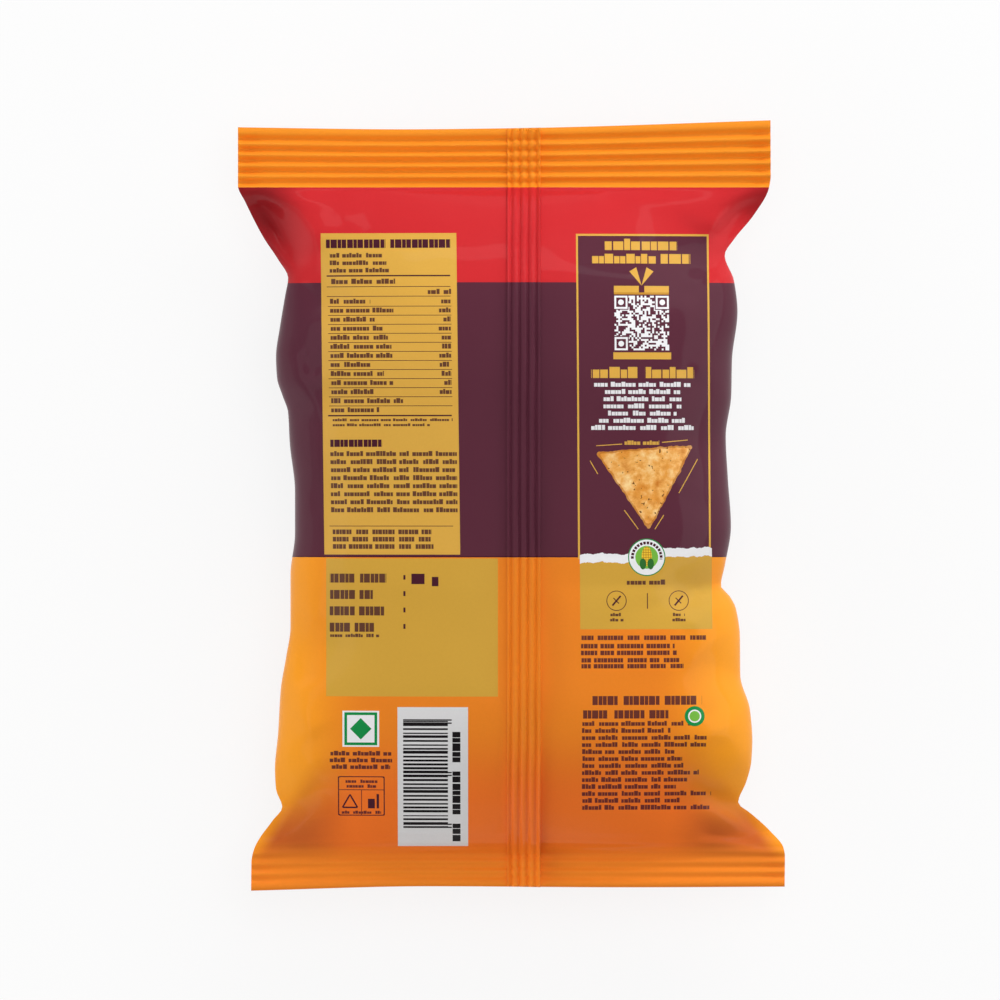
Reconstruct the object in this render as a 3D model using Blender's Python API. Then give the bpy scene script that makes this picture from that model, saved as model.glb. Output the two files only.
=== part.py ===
"""A sealed pillow bag of nacho crisps, lying on its front with its back up.

The bag is one tube of printed film. Crimped seals close its two ends, and a fin seal,
folded flat, runs down the middle of its back. Between the seals the film is puffed out,
so its sides draw in, and they buckle where the flat ends meet the round body.

X runs across the bag, Y along it towards the top seal, and Z up out of its back.
The origin is on the floor, under the middle of the bag. All sizes are in metres.
"""

import math

import bmesh
import bpy

# Driving dimensions
FULL_THICKNESS = 0.052  # floor to the highest point of the back
SEAL_LEVEL = 0.0235  # height of the flat end seals over the floor
FRONT_DEPTH = 0.0262  # how far the front would hang below the seals with no floor
BODY_TOP = 0.0920  # where the top seal ends and the puffed body starts
BODY_BOTTOM = -0.0945
SEAL_THICKNESS = 0.0006

# The printed bands of colour change at these lines across the bag
PURPLE_TOP = 0.0643
PURPLE_BOTTOM = -0.0149

# Each side of the bag as (y, x), from the bottom corner to the top one
LEFT_SIDE = (
    (-0.1115, -0.0753),
    (-0.1025, -0.0752),
    (-0.0995, -0.0746),
    (-0.0910, -0.0690),
    (-0.0873, -0.0663),
    (-0.0820, -0.0681),
    (-0.0760, -0.0684),
    (-0.0660, -0.0675),
    (-0.0530, -0.0667),
    (-0.0440, -0.0652),
    (-0.0350, -0.0639),
    (-0.0200, -0.0639),
    (-0.0080, -0.0626),
    (0.0040, -0.0626),
    (0.0180, -0.0641),
    (0.0270, -0.0646),
    (0.0315, -0.0661),
    (0.0370, -0.0678),
    (0.0430, -0.0681),
    (0.0520, -0.0669),
    (0.0610, -0.0654),
    (0.0658, -0.0646),
    (0.0710, -0.0674),
    (0.0780, -0.0720),
    (0.0880, -0.0771),
    (0.0925, -0.0791),
    (0.1115, -0.0791),
)
RIGHT_SIDE = (
    (-0.1115, 0.0790),
    (-0.1015, 0.0791),
    (-0.0990, 0.0787),
    (-0.0940, 0.0747),
    (-0.0890, 0.0692),
    (-0.0860, 0.0656),
    (-0.0800, 0.0679),
    (-0.0740, 0.0694),
    (-0.0680, 0.0697),
    (-0.0590, 0.0690),
    (-0.0490, 0.0662),
    (-0.0380, 0.0661),
    (-0.0300, 0.0650),
    (-0.0260, 0.0630),
    (-0.0232, 0.0606),
    (-0.0170, 0.0618),
    (-0.0060, 0.0635),
    (0.0080, 0.0626),
    (0.0200, 0.0620),
    (0.0320, 0.0636),
    (0.0420, 0.0638),
    (0.0560, 0.0654),
    (0.0650, 0.0644),
    (0.0724, 0.0617),
    (0.0770, 0.0644),
    (0.0840, 0.0701),
    (0.0915, 0.0744),
    (0.0950, 0.0750),
    (0.1115, 0.0749),
)
# The cut ends of the film as (x, y)
TOP_END = ((-0.0791, 0.1094), (-0.0300, 0.1088), (0.0000, 0.1091), (0.0750, 0.1114))
BOTTOM_END = (
    (-0.0753, -0.1114),
    (-0.0250, -0.1101),
    (0.0300, -0.1104),
    (0.0791, -0.1102),
)

# How the flat ends swell into the body
TOP_SWELL = 0.058  # distance over which the bag reaches its full thickness
BOTTOM_SWELL = 0.052
EAR_LENGTH = 0.030  # the corners stay creased flat this far from a seal
EAR_POWER = 1.35  # section shape beside a seal: a lens with flat edges
BODY_POWER = 0.5  # section shape of the body: an oval

# Buckles in the sides: start x and y, heading in degrees, length, width, share of height lost
BUCKLES = (
    (-0.0646, 0.0658, -22, 0.040, 0.0100, 0.42),
    (-0.0646, 0.0285, 12, 0.034, 0.0085, 0.30),
    (-0.0640, -0.0390, -8, 0.030, 0.0110, 0.34),
    (-0.0663, -0.0873, 24, 0.046, 0.0095, 0.40),
    (0.0617, 0.0724, 204, 0.042, 0.0095, 0.42),
    (0.0620, 0.0180, 172, 0.028, 0.0120, 0.22),
    (0.0606, -0.0232, 196, 0.036, 0.0080, 0.44),
    (0.0662, -0.0480, 170, 0.028, 0.0080, 0.24),
    (0.0656, -0.0860, 158, 0.046, 0.0090, 0.42),
)
FRONT_BUCKLE_SHARE = 0.7  # the front's buckles are this much of the back's

# End seals, pressed between ribbed jaws. The places are shares of a seal's width.
GROOVE_COUNT = 5
FIRST_GROOVE = 0.13  # middle of the groove nearest the body
GROOVE_PITCH = 0.178
TOP_GROOVE_DEPTH = 0.0006
BOTTOM_GROOVE_DEPTH = 0.0004
SEAL_WAVE = 0.0008  # the seals aren't quite flat
SEAL_WAVE_TURNS = 1.6

# The fin seal folded over on the back
FIN_ROOT = -0.0013
FIN_EDGE = 0.0084
FIN_STEP = 0.0003  # width of the step from the body up to the fin
FIN_THICKNESS = 0.0006
FIN_GROOVES = 4
FIN_GROOVE_DEPTH = 0.0002

# Mesh density
SIDE_COLUMNS = 9
FIN_COLUMNS = 2 * FIN_GROOVES
ROWS_PER_GROOVE = 4
BODY_ROW_LENGTH = 0.0044

BAND_COLOURS = {
    "orange": (0.83, 0.23, 0.022),
    "red": (0.64, 0.032, 0.036),
    "purple": (0.105, 0.026, 0.047),
}


def clear_scene():
    for old in list(bpy.data.objects):
        bpy.data.objects.remove(old, do_unlink=True)


def curve_slopes(points):
    """Slopes that keep a curve through the points from overshooting them."""
    secants = [(b[1] - a[1]) / (b[0] - a[0]) for a, b in zip(points, points[1:])]
    slopes = [secants[0]]
    for before, after in zip(secants, secants[1:]):
        turns_back = before * after <= 0
        slopes.append(0.0 if turns_back else 2 * before * after / (before + after))
    slopes.append(secants[-1])
    return slopes


def curve_at(points, position):
    """Value at a position of the smooth curve through (position, value) points."""
    position = min(max(position, points[0][0]), points[-1][0])
    slopes = curve_slopes(points)
    i = max(n for n in range(len(points) - 1) if points[n][0] <= position)
    (start, low), (end, high) = points[i], points[i + 1]
    span = end - start
    t = (position - start) / span
    return (
        low * (1 + 2 * t) * (1 - t) ** 2
        + high * t * t * (3 - 2 * t)
        + span * slopes[i] * t * (1 - t) ** 2
        - span * slopes[i + 1] * t * t * (1 - t)
    )


def mix(a, b, share):
    return a + (b - a) * share


def smooth_step(value, end):
    t = min(max(value / end, 0.0), 1.0)
    return t * t * (3 - 2 * t)


def swell(distance, length):
    """Share of the full thickness at a distance into the body from a seal."""
    t = min(max(distance / length, 0.0), 1.0)
    return (1 - (1 - t) ** 2.3) ** 0.92


def buckle_share(x, y):
    """Share of the height that is left once every buckle has pressed in."""
    left = 1.0
    for start_x, start_y, heading, length, width, depth in BUCKLES:
        angle = math.radians(heading)
        dx, dy = x - start_x, y - start_y
        along = (dx * math.cos(angle) + dy * math.sin(angle)) / length
        across = abs(dy * math.cos(angle) - dx * math.sin(angle)) / width
        fade = max(0.0, 1 - max(0.0, along)) ** 2
        left *= 1 - depth * fade * math.exp(-(across**1.3))
    return left


def puff(x, y, across):
    """Height of the puffed film over its seals, as a share of the full height.

    across runs from -1 at the left side of the bag to 1 at its right side.
    """
    from_top, from_bottom = BODY_TOP - y, y - BODY_BOTTOM
    length_share = swell(from_top, TOP_SWELL) * swell(from_bottom, BOTTOM_SWELL)
    ear = smooth_step(min(from_top, from_bottom), EAR_LENGTH)
    section = max(0.0, 1 - across * across) ** mix(EAR_POWER, BODY_POWER, ear)
    return length_share * section


def seal_level(x, y):
    """Height of the middle of the film where front and back meet."""
    into_body = min(BODY_TOP - y, y - BODY_BOTTOM)
    fade = 1 - smooth_step(into_body, EAR_LENGTH)
    turns = SEAL_WAVE_TURNS * 2 * math.pi * x / (RIGHT_SIDE[-1][1] - LEFT_SIDE[-1][1])
    return SEAL_LEVEL + SEAL_WAVE * fade * math.sin(turns + y / FULL_THICKNESS)


def rib_height(x, y):
    """Grooves pressed across the end seals, the same on front and back."""
    for inner, end, depth in (
        (BODY_TOP, TOP_END, TOP_GROOVE_DEPTH),
        (BODY_BOTTOM, BOTTOM_END, BOTTOM_GROOVE_DEPTH),
    ):
        share = (y - inner) / (curve_at(end, x) - inner)
        place = (share - FIRST_GROOVE) / GROOVE_PITCH
        if share > 0 and place < GROOVE_COUNT - 0.5:
            return -depth * max(0.0, math.cos(place * 2 * math.pi))
    return 0.0


def fin_height(x):
    """Height that the folded fin adds to the back, with its lengthways grooves."""
    outside = max(FIN_ROOT - x, x - FIN_EDGE)
    if outside >= 0:
        return 0.0
    step = min(1.0, -outside / FIN_STEP)
    share = (x - FIN_ROOT - FIN_STEP) / (FIN_EDGE - FIN_ROOT - 2 * FIN_STEP)
    groove = 0.5 - 0.5 * math.cos(share * FIN_GROOVES * 2 * math.pi)
    return step * FIN_THICKNESS - FIN_GROOVE_DEPTH * groove * (step == 1.0)


def back_point(x, y, across):
    half_height = FULL_THICKNESS - SEAL_LEVEL - FIN_THICKNESS
    puffed = half_height * puff(x, y, across) * buckle_share(x, y)
    z = seal_level(x, y) + rib_height(x, y) + SEAL_THICKNESS / 2
    return x, y, z + puffed + fin_height(x)


def front_point(x, y, across):
    buckled = mix(1.0, buckle_share(x, y), FRONT_BUCKLE_SHARE)
    hang = FRONT_DEPTH * puff(x, y, across) * buckled
    z = seal_level(x, y) + rib_height(x, y) - SEAL_THICKNESS / 2
    return x, y, max(0.0, z - hang)


def spread(start, end, count):
    """count positions from start to end, without the end itself."""
    return [mix(start, end, i / count) for i in range(count)]


def seal_shares():
    """Shares of a seal's width where rows of the grid lie, from the body outwards."""
    steps = range(-1, GROOVE_COUNT * ROWS_PER_GROOVE - 1)
    return [FIRST_GROOVE + GROOVE_PITCH * i / ROWS_PER_GROOVE for i in steps] + [1.0]


def row_places():
    """The grid's rows: a body row is its y, a seal row its share of the seal."""
    rows = [("bottom", share) for share in reversed(seal_shares())]
    bands = (BODY_BOTTOM, PURPLE_BOTTOM, PURPLE_TOP, BODY_TOP)
    for low, high in zip(bands, bands[1:]):
        count = math.ceil((high - low) / BODY_ROW_LENGTH)
        rows += [("body", y) for y in spread(low, high, count)]
    rows.append(("body", BODY_TOP))
    return rows + [("top", share) for share in seal_shares()]


def column_places(left, right):
    """Where the grid's columns cross a row between its two sides.

    They close up towards the sides, where the film curves most.
    """
    fin_edges = [FIN_ROOT, FIN_EDGE]
    quarter = math.pi / 2
    falling = [math.sin(quarter * i / SIDE_COLUMNS) for i in range(SIDE_COLUMNS, 0, -1)]
    lefts = [mix(fin_edges[0], left, share) for share in falling]
    rights = [mix(fin_edges[1], right, share) for share in reversed(falling)]
    inner = FIN_ROOT + FIN_STEP, FIN_EDGE - FIN_STEP
    fin = spread(*inner, FIN_COLUMNS) + [inner[1]]
    return lefts + [fin_edges[0]] + fin + [fin_edges[1]] + rights


def grid_points():
    """(x, y, across) of every grid vertex, row by row from the bottom seal."""
    rows = []
    for part, place in row_places():
        y = {"bottom": BODY_BOTTOM, "top": BODY_TOP}.get(part, place)
        end = BOTTOM_END if part == "bottom" else TOP_END
        if part != "body":
            y = mix(y, curve_at(end, 0.0), place)
        left, right = curve_at(LEFT_SIDE, y), curve_at(RIGHT_SIDE, y)
        row = []
        for x in column_places(left, right):
            row_y = y
            if part != "body":
                inner = BODY_BOTTOM if part == "bottom" else BODY_TOP
                row_y = mix(inner, curve_at(end, x), place)
            row.append((x, row_y, 2 * (x - left) / (right - left) - 1))
        rows.append(row)
    return rows


def add_sheet(mesh, rows, shape):
    """A grid of film whose vertices lie where shape puts them."""
    column_count, row_count = len(rows[0]) - 1, len(rows) - 1
    made = bmesh.ops.create_grid(
        mesh, x_segments=column_count, y_segments=row_count, size=0.5
    )
    for vertex in made["verts"]:
        column = round((vertex.co.x + 0.5) * column_count)
        row = round((vertex.co.y + 0.5) * row_count)
        vertex.co = shape(*rows[row][column])
    return made["verts"]


def band_of(y):
    if PURPLE_BOTTOM < y < PURPLE_TOP:
        return "purple"
    return "red" if PURPLE_TOP < y < BODY_TOP else "orange"


def film_material(name, colour):
    material = bpy.data.materials.new(name)
    material.use_nodes = True
    shader = material.node_tree.nodes["Principled BSDF"]
    shader.inputs["Base Color"].default_value = (*colour, 1.0)
    shader.inputs["Roughness"].default_value = 0.34
    shader.inputs["Metallic"].default_value = 0.0
    material.diffuse_color = (*colour, 1.0)
    return material


def build_bag():
    """Back and front sheets, joined all round by the thickness of the film."""
    rows = grid_points()
    shape = bmesh.new()
    add_sheet(shape, rows, back_point)
    add_sheet(shape, rows, front_point)
    rim = [edge for edge in shape.edges if edge.is_boundary]
    bmesh.ops.bridge_loops(shape, edges=rim)
    bmesh.ops.recalc_face_normals(shape, faces=shape.faces)
    names = list(BAND_COLOURS)
    for face in shape.faces:
        face.material_index = names.index(band_of(face.calc_center_median().y))
        face.smooth = True
    mesh = bpy.data.meshes.new("sealed_bag")
    shape.to_mesh(mesh)
    shape.free()
    for name, colour in BAND_COLOURS.items():
        mesh.materials.append(film_material(f"film_{name}", colour))
    bag = bpy.data.objects.new("sealed_bag", mesh)
    collection = bpy.data.collections.new("nacho_crisps_bag")
    bpy.context.scene.collection.children.link(collection)
    collection.objects.link(bag)
    return bag


clear_scene()
build_bag()
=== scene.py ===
import math

import bmesh
import bpy
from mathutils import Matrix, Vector, noise


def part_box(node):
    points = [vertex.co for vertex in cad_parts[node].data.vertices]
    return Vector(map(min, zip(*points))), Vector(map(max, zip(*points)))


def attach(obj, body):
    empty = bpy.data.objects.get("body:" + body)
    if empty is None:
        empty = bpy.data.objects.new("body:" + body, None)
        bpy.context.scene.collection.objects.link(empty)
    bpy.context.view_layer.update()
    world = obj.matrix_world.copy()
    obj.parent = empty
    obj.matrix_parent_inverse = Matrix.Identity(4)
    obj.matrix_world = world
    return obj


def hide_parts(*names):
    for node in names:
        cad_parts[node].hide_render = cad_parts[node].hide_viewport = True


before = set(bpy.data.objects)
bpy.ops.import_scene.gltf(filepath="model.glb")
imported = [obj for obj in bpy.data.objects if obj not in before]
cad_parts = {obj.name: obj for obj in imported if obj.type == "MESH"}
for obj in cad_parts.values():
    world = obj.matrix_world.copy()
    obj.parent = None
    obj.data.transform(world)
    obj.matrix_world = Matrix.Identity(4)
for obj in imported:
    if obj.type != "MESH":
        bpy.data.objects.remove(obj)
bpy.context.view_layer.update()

bagHigh = Vector(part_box("sealed_bag")[1])
mm = 0.001


def tone(red, green, blue):
    # screen colour, 0 to 255, to the linear colour that a shader takes
    def linear(level):
        level /= 255
        return level / 12.92 if level <= 0.04045 else ((level + 0.055) / 1.055) ** 2.4
    return (linear(red), linear(green), linear(blue), 1.0)


def mix(a, b, share):
    return a + (b - a) * share


def clamp(value, low=0.0, high=1.0):
    return min(max(value, low), high)


def smooth(value):
    t = clamp(value)
    return t * t * (3 - 2 * t)


def makeCurve(points):
    # a smooth curve through (place, value) points that never overshoots them
    steps = [(b[1] - a[1]) / (b[0] - a[0]) for a, b in zip(points, points[1:])]
    slopes = [steps[0]]
    for before, after in zip(steps, steps[1:]):
        turnsBack = before * after <= 0
        slopes.append(0.0 if turnsBack else 2 * before * after / (before + after))
    slopes.append(steps[-1])

    def valueAt(place):
        place = clamp(place, points[0][0], points[-1][0])
        i = max(n for n in range(len(points) - 1) if points[n][0] <= place)
        (start, low), (end, high) = points[i], points[i + 1]
        width = end - start
        t = (place - start) / width
        return (low * (1 + 2 * t) * (1 - t) ** 2 + high * t * t * (3 - 2 * t)
                + width * slopes[i] * t * (1 - t) ** 2
                - width * slopes[i + 1] * t * t * (1 - t))
    return valueAt


# the bag's form, in mm
bag = {
    "bodyTop": 92.0,
    "bodyBottom": -94.5,
    "bottomFoot": -100.5,  # the body starts to swell inside the seal here
    "sealLevel": 23.5,
    "frontDepth": 26.2,
    "filmAtSeal": 0.6,
    "topSwell": 58.0,  # the body is full at this distance from a seal
    "bottomSwell": 52.0,
    "swellCurve": 2.3,
    "swellStart": 0.92,
    "earLength": 30.0,
    "earPower": 1.35,
    "bodyPower": 0.5,
    "ripple": 0.5,
    "softEdge": 6.0,  # creases and ripples grow over this much of the body from a seal
    "columns": 140,
    "bodyRows": 150,
    "rowsPerGroove": 8,
}
seal = {
    "grooves": 5,
    "firstGroove": 0.092,
    "groovePitch": 0.18,
    "topDepths": (1.3, 1.45, 1.5, 1.5, 1.3),  # from the body outwards
    "bottomDepths": (0.1, 0.25, 0.45, 0.6, 0.6),
    "pinchWidth": 9.0,  # the ribs stand deeper near the bag's sides
    "pinchDepth": 0.45,
    "wave": 0.8,
    "waveTurns": 1.6,
}
fin = {
    "root": -1.3,
    "edge": 8.4,
    "thickness": 0.35,
    "lift": 1.9,
    "grooves": 4,
    "grooveDepth": 0.85,
    "gap": 0.4,
    "columns": 40,
    "rows": 320,
}
leftSide = makeCurve([
    (-111.5, -75.3), (-102.5, -75.2), (-99.5, -74.6), (-91, -69), (-87.3, -66.3), (-82, -68.1),
    (-76, -68.4), (-66, -67.5), (-53, -66.7), (-44, -65.2), (-35, -63.9), (-20, -63.9),
    (-8, -62.6), (4, -62.6), (18, -64.1), (27, -64.6), (31.5, -66.1), (37, -67.8), (43, -68.1),
    (52, -66.9), (61, -65.4), (65.8, -64.6), (71, -67.4), (78, -72), (88, -77.1), (92.5, -79.1),
    (111.5, -79.1),
])
rightSide = makeCurve([
    (-111.5, 79), (-101.5, 79.1), (-99, 78.7), (-94, 74.7), (-89, 69.2), (-86, 65.6), (-80, 67.9),
    (-74, 69.4), (-68, 69.7), (-59, 69), (-49, 66.2), (-38, 66.1), (-30, 65), (-26, 63),
    (-23.2, 60.6), (-17, 61.8), (-6, 63.5), (8, 62.6), (20, 62), (32, 63.6), (42, 63.8),
    (56, 65.4), (65, 64.4), (72.4, 61.7), (77, 64.4), (84, 70.1), (91.5, 74.4), (95, 75),
    (111.5, 74.9),
])
topEnd = makeCurve([(-79.1, 109.4), (-30, 108.8), (0, 109.1), (75, 111.4)])
bottomEnd = makeCurve([(-75.3, -111.4), (-25, -110.1), (30, -110.4), (79.1, -110.2)])

# buckles in the sides: start x and y, heading in degrees, length, width, share of height lost
buckles = [
    (-64.6, 65.8, -22, 40, 10.0, 0.42),
    (-64.6, 28.5, 12, 34, 8.5, 0.30),
    (-64.0, -39.0, -8, 30, 11.0, 0.34),
    (-66.3, -87.3, 24, 46, 9.5, 0.40),
    (61.7, 72.4, 204, 42, 9.5, 0.42),
    (62.0, 18.0, 172, 28, 12.0, 0.22),
    (60.6, -23.2, 196, 36, 8.0, 0.44),
    (66.2, -48.0, 170, 28, 8.0, 0.24),
    (65.6, -86.0, 158, 46, 9.0, 0.42),
]
# creases in the film: points in mm, height of the ridge (a valley is below 0), and how far it
# fades to the left and to the right of its run
creases = [
    {"points": [(-79, 92.5), (-70, 88.6), (-62, 85.2), (-57.5, 79), (-56, 71)],
     "rise": 3.0, "widths": (10, 3)},
    {"points": [(-74, 88.5), (-69.5, 82.5), (-65, 75), (-61.5, 67)], "rise": -4.6, "widths": (3.8, 4.2)},
    {"points": [(76, 92.5), (67, 88), (60, 83.5), (56, 76)], "rise": 2.2, "widths": (3, 10)},
    {"points": [(71, 88), (66, 80), (61, 73)], "rise": -3.4, "widths": (4, 3.6)},
    {"points": [(-69.5, 38), (-63, 35), (-57, 30), (-54.5, 24)], "rise": 1.3, "widths": (3, 7)},
    {"points": [(-67, 47), (-60, 43), (-55, 36)], "rise": -1.2, "widths": (7, 4)},
    {"points": [(-74, -101), (-66, -95), (-57, -90), (-48, -87.5)], "rise": 1.3, "widths": (7, 3.5)},
    {"points": [(-67.5, -86.5), (-60, -84), (-50, -78)], "rise": -1.3, "widths": (4, 4)},
    {"points": [(78, -100), (68, -93.5), (58, -88.5), (48, -86)], "rise": 1.5, "widths": (6, 3)},
    {"points": [(74, -99), (64, -96), (52, -94)], "rise": -1.5, "widths": (3, 3)},
    {"points": [(66, -85.5), (58, -83), (50, -76)], "rise": -1.3, "widths": (4, 4)},
    {"points": [(61, -23), (54, -25), (47, -30)], "rise": -1.2, "widths": (3.5, 4)},
    {"points": [(63.5, -28), (56, -31), (50, -37)], "rise": 0.9, "widths": (3, 5)},
    {"points": [(66, -62), (58, -66), (52, -73)], "rise": 0.8, "widths": (3, 6)},
    {"points": [(62, 71.5), (55, 66), (50, 57)], "rise": -0.9, "widths": (4, 4)},
    {"points": [(-64.5, 65.5), (-58, 62), (-54, 54)], "rise": -1.2, "widths": (4, 4)},
    {"points": [(23, 90.5), (25.5, 86.5), (27, 84)], "rise": 0.35, "widths": (2, 2)},
    {"points": [(36, 90), (42, 87), (47, 86)], "rise": 0.45, "widths": (4, 3)},
    {"points": [(-40, 91), (-44, 85), (-50, 82)], "rise": 0.4, "widths": (4, 4)},
    {"points": [(-64, -37), (-61, -45), (-60, -53)], "rise": -2.0, "widths": (4, 5)},
    {"points": [(-67, -58), (-61, -60), (-56, -68)], "rise": 1.5, "widths": (6, 4)},
    {"points": [(70, -71), (63, -67), (55, -66), (47, -69)], "rise": 0.6, "widths": (2, 5)},
    {"points": [(69, -55), (62, -57), (54, -62)], "rise": -0.6, "widths": (2.5, 4)},
    {"points": [(66.5, -84), (60, -79.5), (51, -77)], "rise": 0.8, "widths": (2.5, 4)},
    {"points": [(64, -36), (57, -40), (49, -48)], "rise": 0.6, "widths": (2, 5)},
    {"points": [(-68, -80), (-61, -77), (-54, -72)], "rise": 0.9, "widths": (2.5, 5)},
    {"points": [(-66, -24), (-60, -28), (-56, -35)], "rise": 0.8, "widths": (4, 3)},
    {"points": [(-73, -99.5), (-60, -98), (-44, -97)], "rise": 0.35, "widths": (2, 2)},
    {"points": [(76, -99.5), (63, -98.5), (48, -97)], "rise": 0.35, "widths": (2, 2)},
    {"points": [(64, 12), (58, 8), (53, 0)], "rise": 0.7, "widths": (3, 5)},
    {"points": [(65, 48), (58, 44), (52, 36)], "rise": 0.7, "widths": (5, 3)},
    {"points": [(-64, 8), (-58, 4), (-55, -4)], "rise": -0.6, "widths": (4, 4)},
    {"points": [(-2.6, -92), (-2.6, 88)], "rise": -0.8, "widths": (4, 2)},
]
creaseReach = 3  # a crease is gone at this many times its width
# where the side edges sag below the seals' level: x, y, reach, drop
ears = [
    (-76.0, 82.0, 15.0, 6.5),
    (74.0, 82.5, 13.0, 5.0),
    (-71.5, -92.5, 10.0, 4.0),
    (72.5, -93.0, 10.0, 5.0),
]


def swell(distance, length):
    # share of the full thickness at a distance into the body from a seal
    left = 1 - clamp(distance / length)
    return (1 - left ** bag["swellCurve"]) ** bag["swellStart"]


def buckleShare(x, y):
    left = 1.0
    for startX, startY, heading, length, width, depth in buckles:
        angle = math.radians(heading)
        dx, dy = x - startX, y - startY
        along = (dx * math.cos(angle) + dy * math.sin(angle)) / length
        across = abs(dy * math.cos(angle) - dx * math.sin(angle)) / width
        fade = max(0.0, 1 - max(0.0, along)) ** 2
        left *= 1 - depth * fade * math.exp(-across ** 1.3)
    return left


def nearestOn(points, x, y):
    # distance to the nearest stretch of a run of points, the side that the place lies on,
    # and the share along the run
    best = (math.inf, 0.0, 0.0)
    for i, ((startX, startY), (endX, endY)) in enumerate(zip(points, points[1:])):
        runX, runY = endX - startX, endY - startY
        forward = (x - startX) * runX + (y - startY) * runY
        along = clamp(forward / (runX * runX + runY * runY))
        distance = math.hypot(x - startX - along * runX, y - startY - along * runY)
        if distance < best[0]:
            side = runX * (y - startY) - runY * (x - startX)
            best = (distance, side, (i + along) / (len(points) - 1))
    return best


def creaseHeight(x, y):
    height = 0.0
    for crease in creases:
        points = crease["points"]
        reach = creaseReach * max(crease["widths"])
        besideX = [point[0] for point in points]
        besideY = [point[1] for point in points]
        if not (min(besideX) - reach < x < max(besideX) + reach
                and min(besideY) - reach < y < max(besideY) + reach):
            continue
        distance, side, share = nearestOn(points, x, y)
        width = crease["widths"][0 if side > 0 else 1]
        lasting = smooth(4 * (1 - share))  # it runs out over its last quarter
        height += crease["rise"] * lasting * math.exp(-(distance / width) ** 1.4)
    return height


def ripple(x, y):
    # the film is never quite smooth
    broad = noise.noise(Vector((x / 21, y / 34, 0.3)))
    return bag["ripple"] * (broad + 0.4 * noise.noise(Vector((x / 8, y / 13, 4.1))))


def puff(x, y, across):
    # height of the puffed film over its seals, as a share of the full height
    fromTop = bag["bodyTop"] - y
    fromBottom = y - bag["bottomFoot"]
    lengthShare = swell(fromTop, bag["topSwell"]) * swell(fromBottom, bag["bottomSwell"])
    ear = smooth(min(fromTop, fromBottom) / bag["earLength"])
    power = mix(bag["earPower"], bag["bodyPower"], ear)
    return lengthShare * max(0.0, 1 - across * across) ** power


def sealLevel(x, y):
    intoBody = min(bag["bodyTop"] - y, y - bag["bottomFoot"])
    fade = 1 - smooth(intoBody / bag["earLength"])
    turns = seal["waveTurns"] * 2 * math.pi * x / (2 * bagHigh.x / mm)
    level = bag["sealLevel"] + seal["wave"] * fade * math.sin(turns + y / (bagHigh.z / mm))
    for earX, earY, reach, drop in ears:
        away = math.hypot(x - earX, y - earY) / reach
        level -= drop * smooth(intoBody / 7) * math.exp(-away ** 2.6)
    return level


def ribHeight(x, y):
    # the waves that ribbed jaws press into the end seals
    for inner, end, depths in ((bag["bodyTop"], topEnd, seal["topDepths"]),
                               (bag["bodyBottom"], bottomEnd, seal["bottomDepths"])):
        share = (y - inner) / (end(x) - inner)
        place = (share - seal["firstGroove"]) / seal["groovePitch"]
        if share > 0 and -0.5 < place < seal["grooves"] - 0.5:
            toSide = min(x - leftSide(y), rightSide(y) - x) / seal["pinchWidth"]
            pinch = 1 + seal["pinchDepth"] * math.exp(-(toSide - 0.35) ** 2 * 9)
            return -depths[round(place)] * pinch * (0.5 + 0.5 * math.cos(place * 2 * math.pi))
    return 0.0


def backHeight(x, y, across):
    full = bagHigh.z / mm - bag["sealLevel"] - bag["filmAtSeal"]
    base = sealLevel(x, y) + ribHeight(x, y) + bag["filmAtSeal"] / 2
    # creases and ripples die away at the seals and at the very sides
    intoBody = min(bag["bodyTop"] - y, y - bag["bottomFoot"])
    free = smooth(intoBody / bag["softEdge"] + 0.1) * smooth((1 - abs(across)) * 7)
    puffed = full * puff(x, y, across) * buckleShare(x, y)
    return base + puffed + free * (creaseHeight(x, y) + ripple(x, y))


def frontHeight(x, y, across):
    hang = bag["frontDepth"] * puff(x, y, across) * mix(1.0, buckleShare(x, y), 0.7)
    base = sealLevel(x, y) + ribHeight(x, y) - bag["filmAtSeal"] / 2
    return max(0.0, base - hang)


def sealShares():
    count = seal["grooves"] * bag["rowsPerGroove"]
    first = seal["firstGroove"] - seal["groovePitch"] / 2
    step = seal["groovePitch"] / bag["rowsPerGroove"]
    return [first + step * i for i in range(count + 1)] + [1.0]


def rowLines():
    # every row of the sheets as a function of x, from the bottom seal to the top one
    def sealRow(inner, end, share):
        return lambda x: mix(inner, end(x), share)
    rows = [sealRow(bag["bodyBottom"], bottomEnd, s) for s in reversed(sealShares())]
    for i in range(bag["bodyRows"] + 1):
        rows.append(lambda x, y=mix(bag["bodyBottom"], bag["bodyTop"], i / bag["bodyRows"]): y)
    return rows + [sealRow(bag["bodyTop"], topEnd, s) for s in sealShares()]


def sheetPoints():
    rows = []
    for line in rowLines():
        left, right = leftSide(line(0.0)), rightSide(line(0.0))
        row = []
        for i in range(bag["columns"] + 1):
            across = math.sin(math.pi / 2 * (2 * i / bag["columns"] - 1))
            x = mix(left, right, (across + 1) / 2)
            row.append((x, line(x), across))
        rows.append(row)
    return rows


def addSheet(form, rows, heightAt):
    columnCount, rowCount = len(rows[0]) - 1, len(rows) - 1
    made = bmesh.ops.create_grid(form, x_segments=columnCount, y_segments=rowCount, size=0.5)
    for vertex in made["verts"]:
        column = round((vertex.co.x + 0.5) * columnCount)
        row = round((vertex.co.y + 0.5) * rowCount)
        x, y, across = rows[row][column]
        vertex.co = Vector((x, y, heightAt(x, y, across))) * mm
    return made["verts"]


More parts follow.
